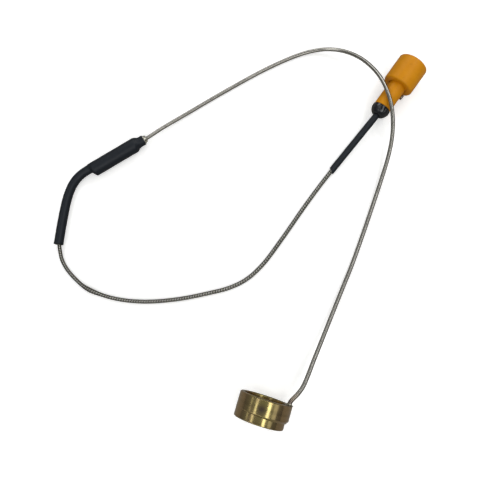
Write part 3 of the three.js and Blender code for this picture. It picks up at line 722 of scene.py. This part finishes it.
deliver(settle(ferrule, spliceMatrix), nickelPlate, ["transition_ferrule"])

# tail
tailFacts = {"radius": 3.75, "wall": 0.8, "mouthWall": 1.55, "flare": 0.28, "crease": 0.2,
             "lump": 0.1, "sides": 40, "step": 0.6}
tailLine = smoothLine(tailRoute, tailFacts["step"])
tailLong = lineLength(tailLine) / mm


def tailOuter(gone, turn):
    # turn 0 is the underside, a quarter turn the side that faces away from the bend's middle
    facts = tailFacts
    inside = max(0.0, -math.sin(turn))
    bend = eased(gone, 3, 8) * (1 - eased(gone, 18, 27))
    crease = facts["crease"] * bend * inside * (0.5 + 0.5 * math.sin(gone * 2.6 + math.cos(turn)))
    soft = noise.noise(Vector((gone * 0.14, 1.5 * math.cos(turn), 1.5 * math.sin(turn))))
    lump = facts["lump"] * (0.5 - soft)
    flare = facts["flare"] * bell(gone, tailLong, 1.6) * (0.5 - 0.5 * math.cos(turn))
    return facts["radius"] - crease - lump + flare


def tailInner(gone, turn):
    # the glue lining has gathered at the mouth
    thick = eased(gone, tailLong - 3.5, tailLong - 1.5)
    wall = tailFacts["wall"] * (1 - thick) + tailFacts["mouthWall"] * thick
    return tailOuter(gone, turn) - wall


tailPosts = stations(tailLine)
rings = [ringAt(s, tailOuter, tailFacts["sides"]) for s in tailPosts]
rings += [ringAt(s, tailInner, tailFacts["sides"]) for s in reversed(tailPosts[:-8:4] + tailPosts[-8:])]
tailShrink = skin("tailShrink", [(rings, True, 0)])
modify(tailShrink, "BEVEL", width=0.16 * mm, segments=3, limit_method="ANGLE", angle_limit=0.9)
deliver(tailShrink, shrink, ["tail_shrink"], angle=50)
print("splice and tail made")

# shrink at the plug
plugShrinkFacts = {"radius": 2.65, "wall": 0.6, "weave": 0.05, "lump": 0.09, "slant": 1.3,
                   "intoNut": 0.9, "sides": 36, "step": 0.5}
shrinkTop = placeIn(plugMatrix, 0, 0, -28.5)
shrinkBottom = Vector(places["shrinkFarEnd"]) * mm
shrinkWay = (shrinkTop - shrinkBottom).normalized()
plugShrinkLine = smoothLine([
    shrinkBottom, shrinkBottom.lerp(shrinkTop, 0.5),
    shrinkTop + shrinkWay * plugShrinkFacts["intoNut"] * mm], plugShrinkFacts["step"])


def plugShrinkOuter(gone, turn):
    facts = plugShrinkFacts
    over = math.sin(fullTurn * gone / 2.0 + 4 * turn) * math.sin(fullTurn * gone / 2.0 - 4 * turn)
    soft = noise.noise(Vector((gone * 0.12, math.cos(turn), math.sin(turn))))
    return facts["radius"] - facts["weave"] * (1 - over) - facts["lump"] * (0.5 - soft)


def slanted(station, radius, sides):
    ring = ringAt(station, radius, sides)
    ahead, gone = station[3], station[4]
    near = plugShrinkFacts["slant"] * (1 - eased(gone, 0, 8))
    return [point - ahead * near * mm * math.sin(fullTurn * k / sides) for k, point in enumerate(ring)]


plugShrinkPosts = stations(plugShrinkLine)
rings = [slanted(s, plugShrinkOuter, plugShrinkFacts["sides"]) for s in plugShrinkPosts]
rings += [slanted(s, lambda gone, turn: plugShrinkOuter(gone, turn) - plugShrinkFacts["wall"],
                  plugShrinkFacts["sides"]) for s in reversed(plugShrinkPosts[::4] + plugShrinkPosts[-1:])]
plugShrink = skin("plugShrink", [(rings, True, 0)])
modify(plugShrink, "BEVEL", width=0.12 * mm, segments=2, limit_method="ANGLE", angle_limit=0.9)
deliver(plugShrink, shrink, ["plug_shrink"], angle=50)
print("plug shrink made")

# collar
collarFacts = {"band": 18.2, "sleeve": 17.2, "bore": 14.3, "half": 8.35, "step": -2.65,
               "slope": 1.5, "chamfer": 0.5, "tipHole": 1.8, "tipDepth": 12.5, "steps": 144}


def makeCollar():
    facts = collarFacts
    half, edge = facts["half"], facts["slope"] / 2
    shift = Matrix.Translation((places["boreShift"] * mm, 0, 0))
    band = spun("collar", [
        (0, facts["step"] - edge), (facts["band"] - facts["slope"], facts["step"] - edge),
        (facts["band"], facts["step"] + edge, 0.35), (facts["band"], half - facts["chamfer"], 0.25),
        (facts["band"] - facts["chamfer"], half, 0.2), (0, half)], facts["steps"])
    sleeve = settle(spun("sleeve", [
        (0, -half), (facts["sleeve"] - facts["chamfer"], -half, 0.2),
        (facts["sleeve"], facts["chamfer"] - half, 0.25), (facts["sleeve"], facts["step"] + 1),
        (0, facts["step"] + 1)], facts["steps"]), shift)
    mouth = facts["chamfer"] + 1
    bore = settle(spun("bore", [
        (0, -half - 1), (facts["bore"] + mouth, -half - 1),
        (facts["bore"], facts["chamfer"] - half, 0.25), (facts["bore"], half - facts["chamfer"], 0.25),
        (facts["bore"] + mouth, half + 1), (0, half + 1)], facts["steps"]), shift)
    tipShift = Matrix.Translation((places["tipAcross"] * mm, 0, 0))
    hole = settle(spun("tipHole", [
        (0, half - facts["tipDepth"]), (facts["tipHole"], half - facts["tipDepth"]),
        (facts["tipHole"], half - 0.12), (facts["tipHole"] + 0.24, half + 0.12),
        (facts["tipHole"] + 0.24, half + 1), (0, half + 1)], 32), tipShift)
    carve(band, sleeve, "UNION")
    carve(band, bore)
    carve(band, hole)
    return settle(band, collarMatrix)


deliver(makeCollar(), brass, ["collar_body"], angle=28)

brazeFacts = {"bore": 1.46, "foot": 2.9, "top": 1.3}
bore, foot, top = brazeFacts["bore"], brazeFacts["foot"], brazeFacts["top"]
braze = spun("brazeFillet", [
    (bore, 0.03), (2.75, 0.03), (foot, 0.1), (2.3, 0.32), (1.95, 0.62), (1.72, 1.0), (1.58, top),
    (bore, top + 0.05), (bore, 0.03)], 40)
for vertex in braze.data.vertices:
    lump = noise.noise(vertex.co / mm * 0.9)
    if vertex.co.xy.length > 1.5 * mm:
        vertex.co.xy *= 1 + 0.12 * lump
        vertex.co.z *= 1 + 0.25 * lump
tipMatrix = collarMatrix @ Matrix.Translation(Vector((places["tipAcross"], 0, places["collarFace"])) * mm)
deliver(settle(braze, tipMatrix), silverSolder, ["sheath_braze"], angle=60)
print("collar made")

# plug
plugFacts = {"head": 11.8, "headLong": 21.5, "headWall": 1.9, "rear": 2.2, "headEdge": 1.5,
             "neck": 6.8, "neckLong": 20.0, "neckBore": 5.0, "flange": 9.5, "flangeFrom": 2.6,
             "flangeTo": 5.0, "barrel": 8.0, "barrelLong": 15.0, "barrelBore": 6.6, "ringFrom": 5.3,
             "ringTo": 6.2, "turnGap": 0.35, "sealAt": 9.4, "sealCord": 0.7, "screwTurn": 20.0,
             "screwBack": 4.6, "seam": (0.7, 0.22, 18.0), "seamAt": -10.2}


def screwMatrix():
    return (Matrix.Translation((0, 0, -plugFacts["screwBack"] * mm))
            @ Matrix.Rotation(math.radians(plugFacts["screwTurn"]), 4, "Z")
            @ Matrix.Rotation(math.pi / 2, 4, "Y"))


def makePlugBody():
    facts = plugFacts
    seal, cord = facts["sealAt"], facts["sealCord"]
    body = spun("plugBody", [
        (facts["neckBore"], -facts["neckLong"]), (facts["neck"], -facts["neckLong"], 0.45),
        (facts["neck"], -1.2), (facts["neck"], facts["flangeFrom"], 0.15),
        (facts["flange"], facts["flangeFrom"], 0.2),
        (facts["flange"], facts["flangeTo"], 0.2), (facts["barrel"], facts["flangeTo"], 0.25),
        (facts["barrel"], seal - cord, 0.1), (facts["barrel"] - cord, seal - cord, 0.2),
        (facts["barrel"] - cord, seal + cord, 0.2), (facts["barrel"], seal + cord, 0.1),
        (facts["barrel"], facts["barrelLong"], 0.4), (facts["barrelBore"], facts["barrelLong"], 0.3),
        (facts["barrelBore"], 1.7, 0.3), (facts["neckBore"], 1.7, 0.2),
        (facts["neckBore"], -facts["neckLong"])], 96)
    seams = [block("seam", facts["seam"], (side * (facts["neck"] - 0.27), 0, facts["seamAt"]))
             for side in (1, -1)]
    carve(body, joined(seams[0], seams[1:]), "UNION")
    hole = settle(spun("screwHole", [(0, 4.0), (1.3, 4.0), (1.3, 6.6), (1.9, 7.2), (1.9, 9.0),
                                     (0, 9.0)], 24), screwMatrix())
    carve(body, hole)
    return settle(body, plugMatrix)


lugFacts = {"count": 3, "deep": 1.9, "wide": 5.0, "long": 2.0, "first": 30.0}


def makeHead():
    facts = plugFacts
    inner = facts["head"] - facts["headWall"]
    long, edge = facts["headLong"], facts["headEdge"]
    hole = facts["neck"] + facts["turnGap"]
    head = spun("couplingHead", [
        (hole, 0, 0.25), (facts["head"], 0, edge), (facts["head"], long, edge * 0.75),
        (inner + 0.3, long, 0.3), (inner, long - 1.2), (inner, facts["ringTo"] + 0.1, 0.1),
        (inner + 0.7, facts["ringTo"] + 0.1), (inner + 0.7, facts["ringFrom"] - 0.1),
        (inner, facts["ringFrom"] - 0.1, 0.1), (inner, facts["rear"], 0.4),
        (hole, facts["rear"], 0.2), (hole, 0.3), (hole, 0.25)], 144, 6)
    lugs = []
    for k in range(lugFacts["count"]):
        lug = block("lug", (lugFacts["deep"], lugFacts["wide"], lugFacts["long"]),
                    (inner - 0.35, 0, long - 2.5))
        modify(lug, "BEVEL", width=0.35 * mm, segments=3)
        turn = math.radians(lugFacts["first"] + 360 * k / lugFacts["count"])
        lugs.append(settle(lug, Matrix.Rotation(turn, 4, "Z")))
    carve(head, joined(lugs[0], lugs[1:]), "UNION")
    return settle(head, plugMatrix)


plugBody = deliver(makePlugBody(), orangeNylon, ["plug_body"])
couplingHead = deliver(makeHead(), orangeNylon, ["coupling_head"], "head")

# snap ring
circlipFacts = {"bore": 8.4, "grip": 0.45, "edge": 0.12, "gap": 1.6}
bore, edge = circlipFacts["bore"], circlipFacts["edge"]
ringFrom, ringTo = plugFacts["ringFrom"], plugFacts["ringTo"]
ringMiddle = (ringFrom + ringTo) / 2
ringOuter = plugFacts["head"] - plugFacts["headWall"] + circlipFacts["grip"]
circlip = spun("circlip", [
    (bore, ringMiddle), (bore, ringFrom, edge), (ringOuter, ringFrom, edge),
    (ringOuter, ringTo, edge), (bore, ringTo, edge), (bore, ringMiddle)], 72)
carve(circlip, block("gap", (4, circlipFacts["gap"], 3), (9.2, 0, ringMiddle)))
deliver(settle(circlip, plugMatrix), zincSteel, ["retaining_ring"], "head")

# rubber ring in the barrel's groove, with a faint moulding line
sealFacts = {"bore": 7.45, "crown": 8.72, "half": 0.62, "line": 0.04}
sealAt, half, line = plugFacts["sealAt"], sealFacts["half"], sealFacts["line"]
bore, crown = sealFacts["bore"], sealFacts["crown"]
seal = spun("rimSeal", [
    (bore, sealAt), (bore, sealAt - half, 0.4), (crown, sealAt - half, 0.55), (crown, sealAt - line),
    (crown + 0.06, sealAt), (crown, sealAt + line), (crown, sealAt + half, 0.55),
    (bore, sealAt + half, 0.4), (bore, sealAt)], 72)
deliver(settle(seal, plugMatrix), nitrile, ["rim_seal"])

# contact carrier and pins
insertFacts = {"radius": 6.25, "from": 2.0, "to": 10.6, "rim": 4.9, "pinSpread": 2.7, "pinHole": 1.2}
radius, rim, top = insertFacts["radius"], insertFacts["rim"], insertFacts["to"]
insert = spun("contactInsert", [
    (0, insertFacts["from"]), (radius, insertFacts["from"], 0.2), (radius, top, 0.35),
    (rim, top, 0.1), (rim - 0.2, top - 0.35, 0.1), (0, top - 0.35)], 72)
cutters = []
for side in (1, -1):
    hole = spun("pinHole", [(0, 1.0), (insertFacts["pinHole"], 1.0), (insertFacts["pinHole"], 9.7),
                            (1.75, 10.3), (1.75, 11.5), (0, 11.5)], 24)
    cutters.append(settle(hole, Matrix.Translation((side * insertFacts["pinSpread"] * mm, 0, 0))))
cutters.append(block("key", (1.8, 1.6, 12), (0, radius, 6.5)))
carve(insert, joined(cutters[0], cutters[1:]))
deliver(settle(insert, plugMatrix), filledInsert, ["contact_insert"])

pinFacts = {"radius": 0.9, "from": -3.0, "to": 14.0}
radius, foot, tip = pinFacts["radius"], pinFacts["from"], pinFacts["to"]
pin = spun("pinPositive", [(0, foot), (radius, foot, 0.15), (radius, 10.9), (radius, tip, 0.75),
                           (0, tip)], 32, 6)
aside = Matrix.Translation((insertFacts["pinSpread"] * mm, 0, 0))
pinTwin = copied(pin, "pinNegative", plugMatrix @ aside.inverted())
deliver(settle(pin, plugMatrix @ aside), chromel, ["pin_positive"])
deliver(pinTwin, alumel, ["pin_negative"])

# gland nut: glossy dome with ten scalloped grips
glandFacts = {"bore": 2.1, "seat": 3.8, "thread": 4.6, "radius": 7.1, "back": -27.5, "front": -20.3,
              "flutes": 10, "fluteRadius": 1.5, "fluteReach": 7.95}
nutBore, nutSeat, nutThread = glandFacts["bore"], glandFacts["seat"], glandFacts["thread"]
nutBack = glandFacts["back"]
nut = spun("glandNut", [
    (nutBore, nutBack), (3.6, nutBack, 0.3), (4.7, nutBack + 0.7, 0.6), (6.0, nutBack + 2.2, 1.5),
    (glandFacts["radius"], nutBack + 4.4, 1.6), (glandFacts["radius"], glandFacts["front"], 0.25),
    (nutThread, glandFacts["front"]), (nutThread, -13.5), (nutSeat, -13.5), (nutSeat, -22.7),
    (nutBore, -22.7), (nutBore, nutBack)], 100)
flutes = []
for k in range(glandFacts["flutes"]):
    turn = fullTurn * (k + 0.5) / glandFacts["flutes"]
    reach = glandFacts["fluteReach"] * mm
    groove = glandFacts["fluteRadius"]
    flute = spun("flute", [(0, -30.0), (groove, -30.0), (groove, -21.9), (1.2, -21.4), (0.6, -21.1),
                           (0, -21.0)], 20)
    flutes.append(settle(flute, Matrix.Translation((reach * math.cos(turn), reach * math.sin(turn), 0))))
carve(nut, joined(flutes[0], flutes[1:]))
modify(nut, "BEVEL", width=0.1 * mm, segments=2, limit_method="ANGLE", angle_limit=0.6)
deliver(settle(nut, plugMatrix), glandNylon, ["gland_nut"])

screwFacts = {"shank": 1.0, "head": 1.9, "seat": 6.95, "top": 8.5, "slot": 0.5}
shank, headOut, seat, top = (screwFacts[key] for key in ("shank", "head", "seat", "top"))
screw = spun("lockingScrew", [(0, 4.35), (shank, 4.35), (shank, seat), (headOut, seat, 0.08),
                              (headOut, top, 0.35), (0, top)], 32)
carve(screw, block("slot", (screwFacts["slot"], 5.0, 1.6), (0, 0, top + 0.1)))
deliver(settle(screw, plugMatrix @ screwMatrix()), wornZinc, ["locking_screw"])
print("plug made")

# CAD pieces that stay, inside the others
finishes = [
    (nickelPlate, ["tip_sheath", "crimp_positive", "crimp_negative", "armour_ferrule"]),
    (magnesia, ["tip_insulation", "cold_seal"]),
    (silverSolder, ["hot_junction"]),
    (chromel, ["tip_wire_positive", "cold_wire_positive"]),
    (alumel, ["tip_wire_negative", "cold_wire_negative"]),
    (glassSleeving, ["crimp_sleeve_positive", "crimp_sleeve_negative", "tail_sleeve"]),
    (greenInsulation, ["core_positive", "plug_core_positive"]),
    (whiteInsulation, ["core_negative", "plug_core_negative"]),
    (nitrile, ["gland_seal"]),
    (zincSteel, ["clamp_ring"]),
]
for material, names in finishes:
    for name in names:
        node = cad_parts[name]
        node.data.materials.clear()
        node.data.materials.append(material)
print("inner pieces finished")

# floor and light
studio = {
    "floorSize": 6, "floorPlace": (-0.05, 0.13, -0.0003),  # in metres, a hair under the pieces
    "floor": "#F2F2F0", "floorGlow": 0.42,  # the paper as the lens sees it
    "floorUnder": "#A09E98",  # what the pieces get back from it
    "zenith": 0.24, "horizon": 0.16,
    "lightsFace": (0, 0.1, 0),
    # name: place, width and length, strength; the strips run along Y, so turned metal shows them
    # as lines, and the boxes along X
    "lights": {
        "stripRight": ((0.60, 0.1, 1.2), (0.25, 2.4), 3.4),
        "stripLeft": ((-0.62, 0.1, 1.2), (0.17, 2.4), 1.9),
        "softRight": ((1.6, 0.1, 1.13), (0.6, 2.4), 0.6),
        "softLeft": ((-1.45, 0.1, 1.13), (0.14, 2.4), 0.8),
        "boxBehind": ((-0.05, 1.3, 1.1), (0.5, 2.4), 2.3),
        "boxFront": ((-0.05, -1.1, 1.1), (0.5, 2.4), 2.3),
    },
}
bpy.ops.object.select_all(action="DESELECT")
bpy.ops.mesh.primitive_plane_add(size=studio["floorSize"], location=studio["floorPlace"])
floor = bpy.context.object
floor.name = "floor"
floorPaint, tree, shader = startMaterial("palePaper", 0.0, 0.9)
feed(tree, shader, {
    "Base Color": colour(studio["floor"]), "Emission Color": colour("#FFFFFF"),
    "Emission Strength": studio["floorGlow"]})
under = addNode(tree, "BsdfDiffuse", {"Color": colour(studio["floorUnder"])})
seen = addNode(tree, "LightPath").outputs["Is Camera Ray"]
both = addNode(tree, "MixShader", {0: seen, 1: under, 2: shader})
feed(tree, tree.nodes["Material Output"], {"Surface": both})
floor.data.materials.append(floorPaint)

for name, (place, size, strength) in studio["lights"].items():
    data = bpy.data.lights.new(name, "AREA")
    data.shape = "RECTANGLE"
    data.size_y, data.size = size
    data.energy = strength * math.pi * size[0] * size[1]
    strip = bpy.data.objects.new(name, data)
    scene.collection.objects.link(strip)
    away = Vector(place) - Vector(studio["lightsFace"])
    facing = away.to_track_quat("Z", "Y").to_matrix().to_4x4()
    strip.matrix_world = Matrix.Translation(place) @ facing
    strip.visible_camera = False

world = bpy.data.worlds.new("studio")
scene.world = world
world.use_nodes = True
sky = world.node_tree
height = addNode(sky, "SeparateXYZ", {"Vector": addNode(sky, "TexCoord").outputs["Generated"]})
glow = addNode(sky, "MapRange", {
    "Value": height.outputs["Z"], "From Min": 0.0, "From Max": 1.0, "To Min": studio["horizon"],
    "To Max": studio["zenith"]})
feed(sky, sky.nodes["Background"], {"Color": colour("#FFFFFF"), "Strength": glow})
scene.view_settings.view_transform = "Standard"
print("floor and light placed")
